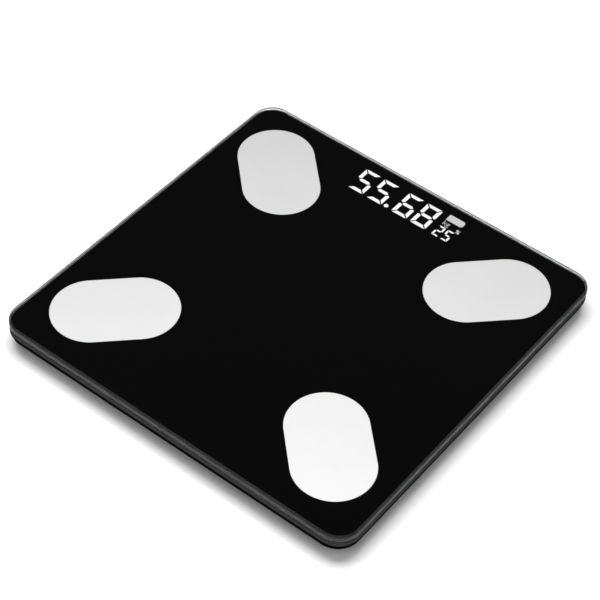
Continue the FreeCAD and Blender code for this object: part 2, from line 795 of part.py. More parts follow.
def switch_plunger():
    return rod(BUTTON[0], BUTTON[1], 1.75, (STEM_TOP, SWITCH_UNDER + 0.5))


def tact_switch():
    x, y = BUTTON
    body = box((x - 3, x + 3), (y - 3, y + 3), (SWITCH_UNDER, BOARD_UNDER))
    body = body.cut(rod(x, y, 1.85, (SWITCH_UNDER, SWITCH_UNDER + 1.2)))
    legs = []
    for side in (-1, 1):
        for row in (-2.2, 2.2):
            reach = sorted((x + side * 2.8, x + side * 4.4))
            legs.append(box(reach, (y + row - 0.35, y + row + 0.35), (BOARD_UNDER - 0.35, BOARD_UNDER)))
    return fuse([body] + legs)


# ---------------------------------------------------------------- leads

def board_landing(x):
    """The last points of every lead: over the board's front edge and onto a pad."""
    front = BOARD_Y[0]
    return [(x, front - 8, WIRE_Z), (x, front - 3, SOLDER_Z), (x, front + 4, SOLDER_Z)]


def sensor_lead(sx, sy):
    """Three wires from a strain gauge to the board, nested so that none cross."""
    wires = []
    for i in (-1, 0, 1):
        start_x = sx * (CELL + WIRE_PITCH * i)
        start_y = sy * (CELL - 16.3)
        if sy > 0:
            turn_y = 64.0 - WIRE_PITCH * i
            column = sx * (REAR_SENSOR_X - WIRE_PITCH * i)
        else:
            turn_y = -64.0 + WIRE_PITCH * i
            column = sx * (FRONT_SENSOR_X + WIRE_PITCH * i)
        points = [
            (start_x, start_y, CELL_TOP + WIRE_R + 0.05),
            (start_x, turn_y, WIRE_Z),
            (column, turn_y, WIRE_Z),
        ]
        wires.append(wire_run(points + board_landing(column), WIRE_R))
    return group(wires)


def electrode_lead(sx, sy):
    """One wire from a ring terminal to the board."""
    start_x = sx * (ELECTRODE_X - STUD_OFFSET - 7.5)
    y = sy * (ELECTRODE_Y - STUD_OFFSET)
    column = sx * (REAR_ELECTRODE_X if sy > 0 else FRONT_ELECTRODE_X)
    points = [
        (start_x, y, TRAY_TOP - WIRE_R - 0.05),
        (start_x - sx * 7.0, y, WIRE_Z),
        (column, y, WIRE_Z),
    ]
    if sy > 0:
        landing = board_landing(column)
        landing[0] = (column, BOARD_Y[0] - 6, WIRE_Z)
        return wire_run(points + landing, WIRE_R)
    return wire_run(points + board_landing(column), WIRE_R)


def battery_leads():
    wires = []
    for side in (-1, 1):
        y = side * BATTERY_PITCH
        column = side * BATTERY_LEAD_X
        points = [
            (side * BAY_HALF_X, y, 14.5),
            (column, y, 14.5),
            (column, y + 8.0, WIRE_Z),
        ]
        wires.append(wire_run(points + board_landing(column), WIRE_R))
    return group(wires)


# ---------------------------------------------------------------- everything

def main():
    os.makedirs("parts", exist_ok=True)
    save(glass_platform(), "glass_platform")
    save(mask_film(), "mask_film")
    save(display_filter(), "display_filter")
    save(electrode_studs(), "electrode_studs")
    save(ring_terminals(), "ring_terminals")
    save(stud_nuts(), "stud_nuts")
    save(bond_tape(), "bond_tape")
    save(base_tray(), "base_tray")
    save(screws(), "screws")
    gauges = []
    for name, sx, sy in CORNERS:
        save(electrode(sx, sy), "electrode_" + name)
        save(place_cell_part(load_cell(), sx, sy), "load_cell_" + name)
        save(place_cell_part(cell_bracket(), sx, sy), "cell_bracket_" + name)
        save(place_cell_part(foot_disc(), sx, sy), "foot_disc_" + name)
        save(place_cell_part(foot_pad(), sx, sy), "foot_pad_" + name)
        save(sensor_lead(sx, sy), "sensor_lead_" + name)
        save(electrode_lead(sx, sy), "electrode_lead_" + name)
        gauges.append(place_cell_part(strain_gauge(), sx, sy))
    save(group(gauges), "strain_gauges")
    for number, row in enumerate((-1, 0, 1), 1):
        save(battery(row), "battery_" + str(number))
    save(battery_springs(), "battery_springs")
    save(contact_plates(), "contact_plates")
    save(battery_leads(), "battery_leads")
    save(battery_door(), "battery_door")
    save(door_latch(), "door_latch")
    save(main_board(), "main_board")
    save(display_reflector(), "display_reflector")
    save(display_diffuser(), "display_diffuser")
    save(display_leds(), "display_leds")
    save(chip(*MAIN_CHIP), "main_chip")
    save(chip(*CONVERTER_CHIP), "converter_chip")
    save(wireless_module(), "wireless_module")
    save(small_parts(), "small_parts")
    save(tact_switch(), "tact_switch")
    save(button_cap(), "button_cap")
    save(switch_plunger(), "switch_plunger")


main()
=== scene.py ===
import math

import bmesh
import bpy
from mathutils import Euler, Matrix, Vector


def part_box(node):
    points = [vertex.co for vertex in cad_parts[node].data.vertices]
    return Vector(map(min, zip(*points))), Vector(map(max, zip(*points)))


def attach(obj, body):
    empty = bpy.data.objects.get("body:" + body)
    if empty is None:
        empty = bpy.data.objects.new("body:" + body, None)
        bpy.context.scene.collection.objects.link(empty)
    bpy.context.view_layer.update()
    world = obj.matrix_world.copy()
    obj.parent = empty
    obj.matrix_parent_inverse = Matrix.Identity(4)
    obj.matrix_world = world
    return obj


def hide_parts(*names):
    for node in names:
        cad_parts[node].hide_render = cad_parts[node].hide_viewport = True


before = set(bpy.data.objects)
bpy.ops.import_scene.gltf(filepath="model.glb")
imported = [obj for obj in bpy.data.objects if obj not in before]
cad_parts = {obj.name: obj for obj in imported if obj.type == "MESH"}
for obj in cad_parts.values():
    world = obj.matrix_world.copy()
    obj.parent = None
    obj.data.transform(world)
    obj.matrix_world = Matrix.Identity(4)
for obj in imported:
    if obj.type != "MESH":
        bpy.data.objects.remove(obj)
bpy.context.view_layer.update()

bl_info = {
    "name": "Glass Bathroom Scale",
    "version": (1, 0, 0),
    "blender": (4, 5, 0),
    "location": "View3D > Sidebar > Scale",
    "description": "Builds a glass-topped bathroom scale's visible pieces, finishes and studio",
    "category": "Object",
}

MM = 0.001
CORNERS = {
    "front_left": (-1, -1),
    "front_right": (1, -1),
    "rear_left": (-1, 1),
    "rear_right": (1, 1),
}
GLASS_LOW, GLASS_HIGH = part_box("glass_platform")
FILTER_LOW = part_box("display_filter")[0]
TRAY_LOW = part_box("base_tray")[0]

# Tests of an edge's or a face's direction, and of its height
UPRIGHT = 0.99
LEVEL = 0.01
FLAT = 0.999
SAME_HEIGHT = 1e-6
# The glass and its holes
GLASS_IOR = 1.52
STUD_RADIUS = 1.5 * MM
HOLE_DRILL = 20 * MM
CORNER_STEPS = 24
# Electrodes: the bevel stays just short of a half circle, and its ends are then welded
NEARLY_ROUND = 0.9999
WELD = 0.005 * MM
ROUND_STEPS = 32
# Display: places are measured from the lower left corner of the smoked window
LIT_BOTTOM = 0.02 * MM
LIT_TOP = 0.05 * MM
DIGIT_STARTS = (3.8 * MM, 19.7 * MM, 41.0 * MM, 56.8 * MM)
READING_RISE = 2.6 * MM
POINT_X = 35.7 * MM
POINT_RISE = 1.7 * MM
POINT_RADIUS = 1.65 * MM
MARKS_X = 75.1 * MM
MARKS_RISE = 2.4 * MM
SMALL_PITCH = 7.2 * MM
BAR_RISE = 17.6 * MM
BAR_SIZE = (13.2 * MM, 6.0 * MM)
BAR_ROUND = 2.2 * MM
UNIT_RISE = 12.5 * MM
UNIT_SIZE = 4.6 * MM
UNIT_DIMMING = 0.8
PERCENT_PLACE = (11.8 * MM, 11.0 * MM)
PERCENT_SIZE = 3.6 * MM
LETTER_SIZE = 1.35
# A digit's bars: gap and tip as shares of the stroke, and the tip's own gap as a share of the gap
BAR_GAP = 0.23
BAR_TIP = 0.45
TIP_GAP = 1.4
# Surfaces
MOULD_GRAIN = 0.45 * MM
FINE_GRAIN = 0.2 * MM
GRAIN_DEPTH = 0.01 * MM
JACKET_MIDDLE = 12 * MM
RULE_PITCH = 2.6 * MM
RULE_WIDTH = 0.22 * MM
RULE_LENGTH = 0.4
LABEL_RECESS = 0.3 * MM
LABEL_CORNER = 1.8 * MM
# Studio, in metres
FLOOR_SIZE = 14
KEY_PLACE = (-0.12, 0.0, 1.4)
KEY_SIZE = (1.1, 0.7)
FILL_DISTANCE = 1.0
FILL_HEIGHT = 1.5
FILL_SIZE = (1.6, 0.9)
FRONT_CARD_PLACE = (-0.8, -1.5, 1.1)
SIDE_CARD_PLACE = (1.5, 1.1, 0.8)
CARD_SIZE = (1.2, 0.8)
SENSOR_WIDTH = 36.0
VIEW_DEPTH = 50.0


# ---------------------------------------------------------------- settings

class GlassSettings(bpy.types.PropertyGroup):
    corner: bpy.props.FloatProperty(
        name="Corner radius", description="Radius of the sheet's upright corners",
        default=16 * MM, unit="LENGTH")
    arris: bpy.props.FloatProperty(
        name="Arris", description="Width of the small bevel along both rims",
        default=1.4 * MM, unit="LENGTH")
    stud_hole: bpy.props.FloatProperty(
        name="Stud hole radius", description="Radius of the holes for the electrode studs",
        default=2.5 * MM, unit="LENGTH")
    tint: bpy.props.FloatVectorProperty(
        name="Tint", description="Colour of the clear sheet",
        default=(0.97, 0.985, 0.98), subtype="COLOR")
    ground: bpy.props.FloatVectorProperty(
        name="Ground edge", description="Colour of the ground edge",
        default=(0.93, 0.95, 0.95), subtype="COLOR")
    ground_roughness: bpy.props.FloatProperty(
        name="Edge roughness", description="How matt the ground edge is",
        default=0.5, min=0.0, max=1.0)


class ElectrodeSettings(bpy.types.PropertyGroup):
    end_radius: bpy.props.FloatProperty(
        name="End radius", description="Radius of the round ends",
        default=27.2 * MM, unit="LENGTH")
    half_run: bpy.props.FloatProperty(
        name="Half run", description="Half the straight length between the round ends",
        default=15.6 * MM, unit="LENGTH")
    rim: bpy.props.FloatProperty(
        name="Rim round", description="Rounding of the top rim",
        default=0.25 * MM, unit="LENGTH")
    steel: bpy.props.FloatVectorProperty(
        name="Steel", description="Colour of the satin steel",
        default=(0.685, 0.69, 0.685), subtype="COLOR")
    roughness: bpy.props.FloatProperty(
        name="Roughness", description="How satin the steel is",
        default=0.7, min=0.0, max=1.0)


class DisplaySettings(bpy.types.PropertyGroup):
    reading: bpy.props.StringProperty(
        name="Reading", description="The large digits, without the point", default="5568")
    small_reading: bpy.props.StringProperty(
        name="Small reading", description="The small digits", default="25")
    digit_size: bpy.props.FloatVectorProperty(
        name="Digit size", description="Width and height of a large digit",
        default=(12.7 * MM, 22.5 * MM), size=2, unit="LENGTH")
    stroke: bpy.props.FloatProperty(
        name="Stroke", description="Width of a large digit's bars",
        default=2.75 * MM, unit="LENGTH")
    small_size: bpy.props.FloatVectorProperty(
        name="Small digit size", description="Width and height of a small digit",
        default=(5.5 * MM, 10.5 * MM), size=2, unit="LENGTH")
    small_stroke: bpy.props.FloatProperty(
        name="Small stroke", description="Width of a small digit's bars",
        default=1.35 * MM, unit="LENGTH")
    glow: bpy.props.FloatProperty(
        name="Glow", description="Strength of the lit bars", default=1.0, min=0.0)
    dim_glow: bpy.props.FloatProperty(
        name="Dim glow", description="Strength of the paler marks", default=0.62, min=0.0)


class PlasticSettings(bpy.types.PropertyGroup):
    tray: bpy.props.FloatVectorProperty(
        name="Tray", description="Colour of the tray and door",
        default=(0.05, 0.05, 0.052), subtype="COLOR")
    # Heights of a band of painted shade: the tray's colour is darkened there, round the foot of the
    # rim, to stand in for the shadow under the tray.
    lip: bpy.props.FloatVectorProperty(
        name="Lip",
        description="Lowest and highest point of the blacker band round the foot of the tray's rim",
        default=(11.7 * MM, 15.9 * MM), size=2, unit="LENGTH")
    foot: bpy.props.FloatVectorProperty(
        name="Foot", description="Colour of the feet",
        default=(0.03, 0.03, 0.031), subtype="COLOR")
    pad: bpy.props.FloatVectorProperty(
        name="Pad", description="Colour of the rubber pads",
        default=(0.045, 0.045, 0.045), subtype="COLOR")
    grain: bpy.props.FloatProperty(
        name="Grain size", description="Size of the moulded grain",
        default=MOULD_GRAIN, unit="LENGTH")


class LabelSettings(bpy.types.PropertyGroup):
    size: bpy.props.FloatVectorProperty(
        name="Label size", description="Width and depth of the blank rating label",
        default=(68 * MM, 32 * MM), size=2, unit="LENGTH")
    place: bpy.props.FloatVectorProperty(
        name="Label place", description="Middle of the label on the underside",
        default=(0.0, -66 * MM), size=2, unit="LENGTH")
    thick: bpy.props.FloatProperty(
        name="Label thickness", description="Thickness of the label",
        default=0.15 * MM, unit="LENGTH")


class StageSettings(bpy.types.PropertyGroup):
    azimuth: bpy.props.FloatProperty(
        name="Azimuth", description="Camera's bearing, from the front towards the right",
        default=math.radians(35.62), subtype="ANGLE")
    elevation: bpy.props.FloatProperty(
        name="Elevation", description="Camera's height angle",
        default=math.radians(47.18), subtype="ANGLE")
    roll: bpy.props.FloatProperty(
        name="Roll", description="Camera's tilt about its own line of sight",
        default=math.radians(3.31), subtype="ANGLE")
    distance: bpy.props.FloatProperty(
        name="Distance", description="Camera's distance from the point it looks at",
        default=1274.4 * MM, unit="LENGTH")
    target: bpy.props.FloatVectorProperty(
        name="Target", description="The point on the glass that the camera looks at",
        default=(-1.42 * MM, -1.17 * MM), size=2, unit="LENGTH")
    lens: bpy.props.FloatProperty(
        name="Lens", description="Focal length in millimetres", default=116.59, min=1.0)
    floor: bpy.props.FloatVectorProperty(
        name="Floor", description="Colour of the floor",
        default=(0.93, 0.93, 0.93), subtype="COLOR")
    key: bpy.props.FloatProperty(
        name="Key", description="Power of the softbox overhead, in watts",
        default=24.0, min=0.0)
    fill: bpy.props.FloatProperty(
        name="Fill", description="Power of the broad softbox behind the camera, in watts",
        default=9.0, min=0.0)
    card: bpy.props.FloatProperty(
        name="Card", description="Power of each low card that lights the bevelled rims, in watts",
        default=3.5, min=0.0)
    surround: bpy.props.FloatProperty(
        name="Surround", description="Brightness of the surrounding room", default=0.07, min=0.0)


class ScaleSettings(bpy.types.PropertyGroup):
    glass: bpy.props.PointerProperty(type=GlassSettings)
    electrodes: bpy.props.PointerProperty(type=ElectrodeSettings)
    display: bpy.props.PointerProperty(type=DisplaySettings)
    plastic: bpy.props.PointerProperty(type=PlasticSettings)
    label: bpy.props.PointerProperty(type=LabelSettings)
    stage: bpy.props.PointerProperty(type=StageSettings)


def settings():
    return bpy.context.scene.bathroom_scale


# ---------------------------------------------------------------- modelling helpers

def deselect():
    if bpy.context.object and bpy.context.object.mode != "OBJECT":
        bpy.ops.object.mode_set(mode="OBJECT")
    bpy.ops.object.select_all(action="DESELECT")


def make_active(piece):
    deselect()
    piece.select_set(True)
    bpy.context.view_layer.objects.active = piece


def apply_place(piece):
    make_active(piece)
    bpy.ops.object.transform_apply(location=True, rotation=True, scale=True)


def add_block(name, low, high):
    """A box between two corners, with its place in its mesh."""
    deselect()
    low, high = Vector(low), Vector(high)
    bpy.ops.mesh.primitive_cube_add(size=1, location=(low + high) / 2, scale=high - low)
    piece = bpy.context.object
    piece.name = name
    apply_place(piece)
    return piece


def select_edges(piece, wanted):
    """Edit mode with just the edges for which wanted(middle, direction) is true."""
    make_active(piece)
    bpy.ops.object.mode_set(mode="EDIT")
    bpy.ops.mesh.select_mode(type="EDGE")
    bpy.ops.mesh.select_all(action="DESELECT")
    shape = bmesh.from_edit_mesh(piece.data)
    for edge in shape.edges:
        ends = [v.co for v in edge.verts]
        middle = (ends[0] + ends[1]) / 2
        direction = (ends[1] - ends[0]).normalized()
        edge.select_set(wanted(middle, direction))
    bmesh.update_edit_mesh(piece.data)


def bevel_edges(piece, wanted, width, steps):
    select_edges(piece, wanted)
    bpy.ops.mesh.bevel(offset=width, segments=steps, affect="EDGES", clamp_overlap=True)
    bpy.ops.object.mode_set(mode="OBJECT")


def is_upright(middle, direction):
    return abs(direction.z) > UPRIGHT


def rim_at(height):
    def wanted(middle, direction):
        return abs(middle.z - height) < SAME_HEIGHT and abs(direction.z) < LEVEL
    return wanted


def rounded_block(name, low, high, corner, steps):
    """A box with rounded upright corners."""
    piece = add_block(name, low, high)
    bevel_edges(piece, is_upright, corner, steps)
    return piece


def cut_with(piece, cutter):
    make_active(piece)
    hole = piece.modifiers.new("Cut", "BOOLEAN")
    hole.operation = "DIFFERENCE"
    hole.solver = "EXACT"
    hole.object = cutter
    bpy.ops.object.modifier_apply(modifier=hole.name)
    bpy.data.objects.remove(cutter)


def smooth(piece, angle=30):
    make_active(piece)
    bpy.ops.object.shade_smooth_by_angle(angle=math.radians(angle))


def copy_of(piece, name):
    twin = piece.copy()
    twin.data = piece.data.copy()
    twin.name = name
    bpy.context.collection.objects.link(twin)
    return twin


def join(pieces, name):
    deselect()
    for piece in pieces:
        piece.select_set(True)
    bpy.context.view_layer.objects.active = pieces[0]
    if len(pieces) > 1:
        bpy.ops.object.join()
    whole = bpy.context.object
    whole.name = name
    return whole


def hand_over(piece, body, slot, *materials):
    """Gives a finished piece its body and its materials; its slot is not used."""
    piece.data.materials.clear()
    for material in materials:
        piece.data.materials.append(material)
    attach(piece, body)


def dress(node, material):
    """Puts one material on all of a CAD node's slots."""
    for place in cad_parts[node].material_slots:
        place.material = material


# ---------------------------------------------------------------- shared effects

def new_group(name, inputs, outputs):
    """A node group with inputs (name, default; a tuple makes a vector) and outputs (name, type)."""
    group = bpy.data.node_groups.new(name, "ShaderNodeTree")
    for label, default in inputs:
        kind = "NodeSocketVector" if isinstance(default, tuple) else "NodeSocketFloat"
        socket = group.interface.new_socket(label, in_out="INPUT", socket_type=kind)
        socket.default_value = default
    for label, kind in outputs:
        group.interface.new_socket(label, in_out="OUTPUT", socket_type=kind)
    start = group.nodes.new("NodeGroupInput")
    end = group.nodes.new("NodeGroupOutput")
    return group, start, end


def feed(tree, socket, value):
    """Links another socket to this one, or sets a plain value."""
    if isinstance(value, bpy.types.NodeSocket):
        tree.links.new(value, socket)
    else:
        socket.default_value = value


def maths(tree, operation, first, second=0.0):
    node = tree.nodes.new("ShaderNodeMath")
    node.operation = operation
    feed(tree, node.inputs[0], first)
    feed(tree, node.inputs[1], second)
    return node.outputs[0]


def scaled(tree, vector, factor):
    """A vector or colour times a factor."""
    node = tree.nodes.new("ShaderNodeVectorMath")
    node.operation = "SCALE"
    feed(tree, node.inputs[0], vector)
    feed(tree, node.inputs["Scale"], factor)
    return node.outputs[0]


def varied(group, value, middle, amount):
    """A middle value shifted by a noise's distance from one half, times an amount."""
    shift = maths(group, "MULTIPLY", maths(group, "SUBTRACT", value, 0.5), amount)
    return maths(group, "ADD", middle, shift)


def object_coords(tree):
    return tree.nodes.new("ShaderNodeTexCoord").outputs["Object"]


def turned(tree, vector, **values):
    """A vector through a mapping with the given location, rotation or scale."""
    node = tree.nodes.new("ShaderNodeMapping")
    for label, value in values.items():
        node.inputs[label].default_value = value
    tree.links.new(vector, node.inputs["Vector"])
    return node.outputs["Vector"]


def split_axes(tree, vector):
    node = tree.nodes.new("ShaderNodeSeparateXYZ")
    tree.links.new(vector, node.inputs[0])
    return node.outputs


def noise(group, vector, scale, detail=4.0, roughness=0.55):
    node = group.nodes.new("ShaderNodeTexNoise")
    group.links.new(vector, node.inputs["Vector"])
    feed(group, node.inputs["Scale"], scale)
    node.inputs["Detail"].default_value = detail
    node.inputs["Roughness"].default_value = roughness
    return node.outputs["Fac"]


def make_mould_grain():
    """Fine spark-eroded grain: a height, and a roughness that follows it."""
    group, start, end = new_group(
        "Mould Grain",
        [("Scale", 2200.0), ("Roughness", 0.5), ("Variation", 0.12)],
        [("Height", "NodeSocketFloat"), ("Roughness", "NodeSocketFloat")])
    coords = object_coords(group)
    cells = group.nodes.new("ShaderNodeTexVoronoi")
    group.links.new(coords, cells.inputs["Vector"])
    group.links.new(start.outputs["Scale"], cells.inputs["Scale"])
    fine = noise(group, coords, maths(group, "MULTIPLY", start.outputs["Scale"], 0.6))
    height = maths(group, "ADD", maths(group, "MULTIPLY", cells.outputs["Distance"], 0.6), fine)
    broad = noise(group, coords, scale=14.0)
    roughness = varied(group, broad, start.outputs["Roughness"], start.outputs["Variation"])
    group.links.new(height, end.inputs["Height"])
    group.links.new(roughness, end.inputs["Roughness"])
    return group


def make_brush_lines():
    """Straight brush lines along X: a fine value for roughness and height."""
    group, start, end = new_group(
        "Brush Lines",
        [("Vector", (0, 0, 0)), ("Roughness", 0.35), ("Contrast", 0.15)],
        [("Height", "NodeSocketFloat"), ("Roughness", "NodeSocketFloat")])
    stretch = turned(group, start.outputs["Vector"], Scale=(30.0, 2600.0, 30.0))
    lines = noise(group, stretch, scale=1.0, detail=6.0, roughness=0.7)
    roughness = varied(group, lines, start.outputs["Roughness"], start.outputs["Contrast"])
    group.links.new(lines, end.inputs["Height"])
    group.links.new(roughness, end.inputs["Roughness"])
    return group


def make_handling_marks():
    """Faint wiped streaks and finger marks: a mask from 0 to 1."""
    group, start, end = new_group(
        "Handling Marks",
        [("Scale", 26.0), ("Amount", 0.5)],
        [("Mask", "NodeSocketFloat")])
    coords = object_coords(group)
    broad = noise(group, coords, start.outputs["Scale"], detail=3.0, roughness=0.5)
    stretch = turned(group, coords, Rotation=(0, 0, math.radians(24)), Scale=(9.0, 60.0, 9.0))
    streaks = noise(group, stretch, scale=1.0, detail=5.0, roughness=0.6)
    mixed = maths(group, "MULTIPLY", broad, streaks)
    lifted = maths(group, "MULTIPLY", maths(group, "SUBTRACT", mixed, 0.22), 6.0)
    clamp = group.nodes.new("ShaderNodeClamp")
    group.links.new(lifted, clamp.inputs["Value"])
    mask = maths(group, "MULTIPLY", clamp.outputs[0], start.outputs["Amount"])
    group.links.new(mask, end.inputs["Mask"])
    return group


def make_cloudy_tone():
    """Soft cloudy variation of a colour: a value around 1."""
    group, start, end = new_group(
        "Cloudy Tone",
        [("Scale", 60.0), ("Amount", 0.1)],
        [("Factor", "NodeSocketFloat")])
    clouds = noise(group, object_coords(group), start.outputs["Scale"], detail=5.0, roughness=0.6)
    group.links.new(varied(group, clouds, 1.0, start.outputs["Amount"]), end.inputs["Factor"])
    return group


def make_lip_shade():
    """Painted shade: a darker value between two heights, and 1 elsewhere."""
    group, start, end = new_group(
        "Painted Lip Shade",
        [("Low", 0.0), ("High", 0.0), ("Dark", 0.04)],
        [("Factor", "NodeSocketFloat")])
    height = split_axes(group, object_coords(group))["Z"]
    above = maths(group, "GREATER_THAN", height, start.outputs["Low"])
    below = maths(group, "LESS_THAN", height, start.outputs["High"])
    inside = maths(group, "MULTIPLY", above, below)
    shift = maths(group, "MULTIPLY", inside, maths(group, "SUBTRACT", 1.0, start.outputs["Dark"]))
    group.links.new(maths(group, "SUBTRACT", 1.0, shift), end.inputs["Factor"])
    return group


EFFECTS = {}


def effect(name):
    makers = {
        "Mould Grain": make_mould_grain,
        "Brush Lines": make_brush_lines,
        "Handling Marks": make_handling_marks,
        "Cloudy Tone": make_cloudy_tone,
        "Painted Lip Shade": make_lip_shade,
    }
    if name not in EFFECTS:
        EFFECTS[name] = makers[name]()
    return EFFECTS[name]


def place_effect(tree, name, **values):
    node = tree.nodes.new("ShaderNodeGroup")
    node.node_tree = effect(name)
    for label, value in values.items():
        node.inputs[label].default_value = value
    return node


# ---------------------------------------------------------------- materials

def blank_material(name):
    material = bpy.data.materials.new(name)
    material.use_nodes = True
    shader = material.node_tree.nodes["Principled BSDF"]
    return material, material.node_tree, shader


def tinted(tree, colour, scale, amount):
    """A colour with a soft cloudy variation, as a socket."""
    cloud = place_effect(tree, "Cloudy Tone", Scale=scale, Amount=amount)
    return scaled(tree, tuple(colour), cloud.outputs["Factor"])


def paint(tree, shader, colour, scale, amount):
    """A softly clouded colour as the shader's base colour."""
    tree.links.new(tinted(tree, colour, scale, amount), shader.inputs["Base Color"])


def add_bump(tree, shader, height, distance, strength):
    bump = tree.nodes.new("ShaderNodeBump")
    bump.inputs["Distance"].default_value = distance
    bump.inputs["Strength"].default_value = strength
    tree.links.new(height, bump.inputs["Height"])
    tree.links.new(bump.outputs["Normal"], shader.inputs["Normal"])


def grained(tree, shader, scale, roughness, variation):
    """Mould grain on a shader's roughness. Returns the grain's height, for a bump."""
    texture = place_effect(
        tree, "Mould Grain", Scale=scale, Roughness=roughness, Variation=variation)
    tree.links.new(texture.outputs["Roughness"], shader.inputs["Roughness"])
    return texture.outputs["Height"]


def two_tone(tree, shader, mask, first, second):
    """The first colour where the mask is 0, and the second where it is 1."""
    mix = tree.nodes.new("ShaderNodeMix")
    mix.data_type = "RGBA"
    mix.inputs["A"].default_value = (*first, 1)
    mix.inputs["B"].default_value = (*second, 1)
    tree.links.new(mask, mix.inputs["Factor"])
    tree.links.new(mix.outputs["Result"], shader.inputs["Base Color"])


def handled(tree, shader, scale, roughness):
    """A roughness with faint handling marks on it."""
    marks = place_effect(tree, "Handling Marks", Scale=scale, Amount=0.2)
    tree.links.new(maths(tree, "ADD", marks.outputs["Mask"], roughness), shader.inputs["Roughness"])


def moulded_plastic(name, colour, roughness, grain=MOULD_GRAIN):
    material, tree, shader = blank_material(name)
    paint(tree, shader, colour, scale=40.0, amount=0.25)
    height = grained(tree, shader, scale=1.0 / grain, roughness=roughness, variation=0.15)
    add_bump(tree, shader, height, distance=GRAIN_DEPTH, strength=0.6)
    return material


def tray_plastic():
    """Grained black plastic, with painted shade round the foot of the tray's rim, standing in for
    the shadow under it.
    """
    plastic = settings().plastic
    material, tree, shader = blank_material("Tray Plastic")
    shader.inputs["Specular IOR Level"].default_value = 0.0
    # Painted shade: the colour is darkened in a band round the foot of the rim, where the shadow
    # under the tray falls.
    shade = place_effect(tree, "Painted Lip Shade", Low=plastic.lip[0], High=plastic.lip[1], Dark=0.04)
    colour = tinted(tree, plastic.tray, scale=40.0, amount=0.25)
    shaded = scaled(tree, colour, shade.outputs["Factor"])
    tree.links.new(shaded, shader.inputs["Base Color"])
    height = grained(tree, shader, scale=1.0 / plastic.grain, roughness=0.5, variation=0.15)
    add_bump(tree, shader, height, distance=GRAIN_DEPTH, strength=0.6)
    return material


def rubber(name, colour):
    material, tree, shader = blank_material(name)
    paint(tree, shader, colour, scale=90.0, amount=0.4)
    height = grained(tree, shader, scale=3000.0, roughness=0.82, variation=0.1)
    add_bump(tree, shader, height, distance=0.02 * MM, strength=0.7)
    shader.inputs["Specular IOR Level"].default_value = 0.35
    return material


def brushed_metal(name, colour, roughness, angle=0.0, contrast=0.18):
    material, tree, shader = blank_material(name)
    turn = turned(tree, object_coords(tree), Rotation=(0, 0, angle))
    lines = place_effect(tree, "Brush Lines", Roughness=roughness, Contrast=contrast)
    tree.links.new(turn, lines.inputs["Vector"])
    paint(tree, shader, colour, scale=30.0, amount=0.05)
    tree.links.new(lines.outputs["Roughness"], shader.inputs["Roughness"])
    add_bump(tree, shader, lines.outputs["Height"], distance=0.004 * MM, strength=0.4)
    shader.inputs["Metallic"].default_value = 1.0
    return material


def blank_glass(name):
    material, tree, shader = blank_material(name)
    shader.inputs["Transmission Weight"].default_value = 1.0
    shader.inputs["IOR"].default_value = GLASS_IOR
    return material, tree, shader


def clear_glass():
    material, tree, shader = blank_glass("Clear Glass")
    shader.inputs["Base Color"].default_value = (*settings().glass.tint, 1.0)
    marks = place_effect(tree, "Handling Marks", Scale=26.0, Amount=0.035)
    tree.links.new(marks.outputs["Mask"], shader.inputs["Roughness"])
    return material


def ground_glass():
    glass = settings().glass
    material, tree, shader = blank_glass("Ground Glass Edge")
    paint(tree, shader, glass.ground, scale=300.0, amount=0.08)
    height = grained(tree, shader, scale=5000.0, roughness=glass.ground_roughness, variation=0.08)
    add_bump(tree, shader, height, distance=0.006 * MM, strength=0.4)
    return material


def black_print():
    material, tree, shader = blank_material("Black Print")
    paint(tree, shader, (0.0035, 0.0035, 0.004), scale=12.0, amount=0.5)
    grained(tree, shader, scale=4000.0, roughness=0.55, variation=0.1)
    shader.inputs["Specular IOR Level"].default_value = 0.15
    return material


def lit(name, strength):
    """A lit mark with a slightly uneven glow."""
    material, tree, shader = blank_material(name)
    shader.inputs["Base Color"].default_value = (0.02, 0.02, 0.02, 1.0)
    shader.inputs["Emission Strength"].default_value = strength
    white = (1.0, 1.0, 1.0)
    tree.links.new(tinted(tree, white, scale=160.0, amount=0.12), shader.inputs["Emission Color"])
    grained(tree, shader, scale=2500.0, roughness=0.6, variation=0.1)
    return material


def circuit_board():
    """Green solder mask with faint tracks."""
    material, tree, shader = blank_material("Circuit Board")
    bricks = tree.nodes.new("ShaderNodeTexBrick")
    bricks.inputs["Scale"].default_value = 260.0
    bricks.inputs["Mortar Size"].default_value = 0.03
    bricks.inputs["Color1"].default_value = (0.012, 0.10, 0.045, 1)
    bricks.inputs["Color2"].default_value = (0.010, 0.085, 0.04, 1)
    bricks.inputs["Mortar"].default_value = (0.03, 0.19, 0.08, 1)
    tree.links.new(object_coords(tree), bricks.inputs["Vector"])
    tree.links.new(bricks.outputs["Color"], shader.inputs["Base Color"])
    grained(tree, shader, scale=900.0, roughness=0.35, variation=0.2)
    add_bump(tree, shader, bricks.outputs["Fac"], distance=0.03 * MM, strength=0.5)
    return material


def battery_jacket():
    """A dark jacket with a copper-coloured band at each end."""
    material, tree, shader = blank_material("Battery Jacket")
    across = maths(tree, "ABSOLUTE", split_axes(tree, object_coords(tree))["X"])
    ends = maths(tree, "GREATER_THAN", across, JACKET_MIDDLE)
    two_tone(tree, shader, ends, (0.015, 0.02, 0.03), (0.45, 0.22, 0.08))
    handled(tree, shader, scale=60.0, roughness=0.25)
    return material


